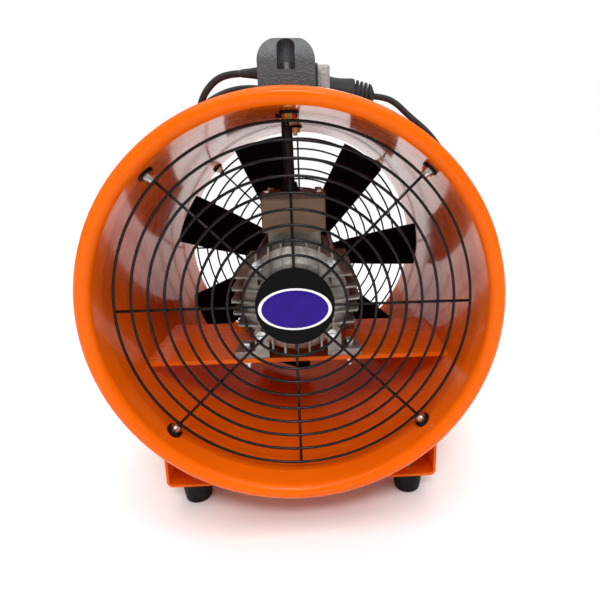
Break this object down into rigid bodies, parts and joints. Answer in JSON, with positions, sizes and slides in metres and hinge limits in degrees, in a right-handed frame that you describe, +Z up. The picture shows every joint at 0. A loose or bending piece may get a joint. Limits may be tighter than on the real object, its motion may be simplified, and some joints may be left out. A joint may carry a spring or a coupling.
{
  "type": "portable axial ventilation fan",
  "caption": "Portable axial ventilation fan: orange sheet-steel barrel on rubber-footed brackets, wire guards, shelf-mounted motor, carry handle and mains cord.",
  "frame": {"origin": "on the floor, midway between the barrel's two rims and under its axis", "axes": "+X to the right seen from the inlet side, +Y along the fan axis from the front rim (switch end) to the back rim, +Z up"},
  "size_m": [0.344, 0.34, 0.4255],
  "materials": {
    "orange_sheet": "gloss orange enamel on sheet steel",
    "black_wire": "gloss black dip coat",
    "black_plate": "gloss black",
    "shelf_steel": "gloss orange enamel",
    "badge_white": "gloss",
    "badge_blue": "gloss",
    "motor_grey": "cast, grey paint",
    "core_steel": "laminated",
    "copper": "enamelled wire",
    "zinc": "zinc plated",
    "yellow_zinc": "yellow passivated",
    "box_grey": "fine grain",
    "dark_plastic": "fine grain",
    "handle_plastic": "coarse grain",
    "black_rubber": "matte",
    "clear_cover": "clear flexible plastic",
    "bearing_steel": "ground",
    "impeller_black": "moulded, satin",
    "can_alu": "drawn can",
    "nickel_pins": "nickel plated"
  },
  "bodies": {
    "fan_body": {"barrel": "orange_sheet", "front_base_bracket": "orange_sheet", "rear_base_bracket": "orange_sheet", "rubber_feet": "black_rubber", "foot_screws": "zinc", "foot_nuts": "zinc", "front_guard": "black_wire", "rear_guard": "black_wire", "front_guard_disc": "black_plate", "rear_guard_disc": "black_plate", "badge_border": "badge_white", "badge_field": "badge_blue", "guard_bolts": "zinc", "guard_washers": "black_rubber", "guard_nuts": "zinc", "guard_sleeves": "zinc", "motor_shelf": "shelf_steel", "motor_frame": "motor_grey", "motor_front_shield": "motor_grey", "motor_rear_shield": "motor_grey", "shield_screws": "zinc", "motor_foot_bolts": "zinc", "motor_foot_nuts": "zinc", "stator_core": "core_steel", "stator_windings": "copper", "terminal_box": "box_grey", "terminal_lid": "dark_plastic", "terminal_lid_screws": "zinc", "terminal_block": "dark_plastic", "run_capacitor": "can_alu", "terminal_gland": "black_rubber", "motor_lead": "black_rubber", "lead_grommet": "black_rubber", "handle_left": "handle_plastic", "handle_right": "handle_plastic", "handle_screws": "zinc", "handle_bolts": "zinc", "handle_nuts": "yellow_zinc", "handle_washers": "black_rubber", "switch_body": "dark_plastic", "switch_cover": "clear_cover", "cord_relief": "black_rubber", "cord": "black_rubber", "plug_body": "black_rubber", "plug_pins": "nickel_pins", "bearing_outer_rings": "bearing_steel"},
    "rotor": {"rotor_shaft": "bearing_steel", "rotor_core": "core_steel", "shaft_key": "zinc", "impeller_hub": "impeller_black", "impeller_blades": "impeller_black", "impeller_washer": "zinc", "impeller_bolt": "zinc", "bearing_inner_rings": "bearing_steel"},
    "front_cage": {"front_bearing_cage": "bearing_steel", "front_bearing_balls": "bearing_steel"},
    "rear_cage": {"rear_bearing_cage": "bearing_steel", "rear_bearing_balls": "bearing_steel"},
    "rocker": {"switch_rocker": "dark_plastic"}
  },
  "joints": [
    {"name": "rotor_spin", "type": "hinge", "parent": "fan_body", "child": "rotor", "pos_m": [0, 0, 0.21], "axis": [0, 1, 0], "continuous": true},
    {"name": "front_cage_spin", "type": "hinge", "parent": "fan_body", "child": "front_cage", "pos_m": [0, 0, 0.21], "axis": [0, 1, 0], "continuous": true},
    {"name": "rear_cage_spin", "type": "hinge", "parent": "fan_body", "child": "rear_cage", "pos_m": [0, 0, 0.21], "axis": [0, 1, 0], "continuous": true},
    {"name": "switch_rock", "type": "hinge", "parent": "fan_body", "child": "rocker", "pos_m": [0.021, -0.109, 0.391], "axis": [0, 0, -1], "range_deg": [0, 18]}
  ],
  "couplings": [
    {"joint": "front_cage_spin", "follows": "rotor_spin", "ratio": 0.3667},
    {"joint": "rear_cage_spin", "follows": "rotor_spin", "ratio": 0.3667}
  ]
}
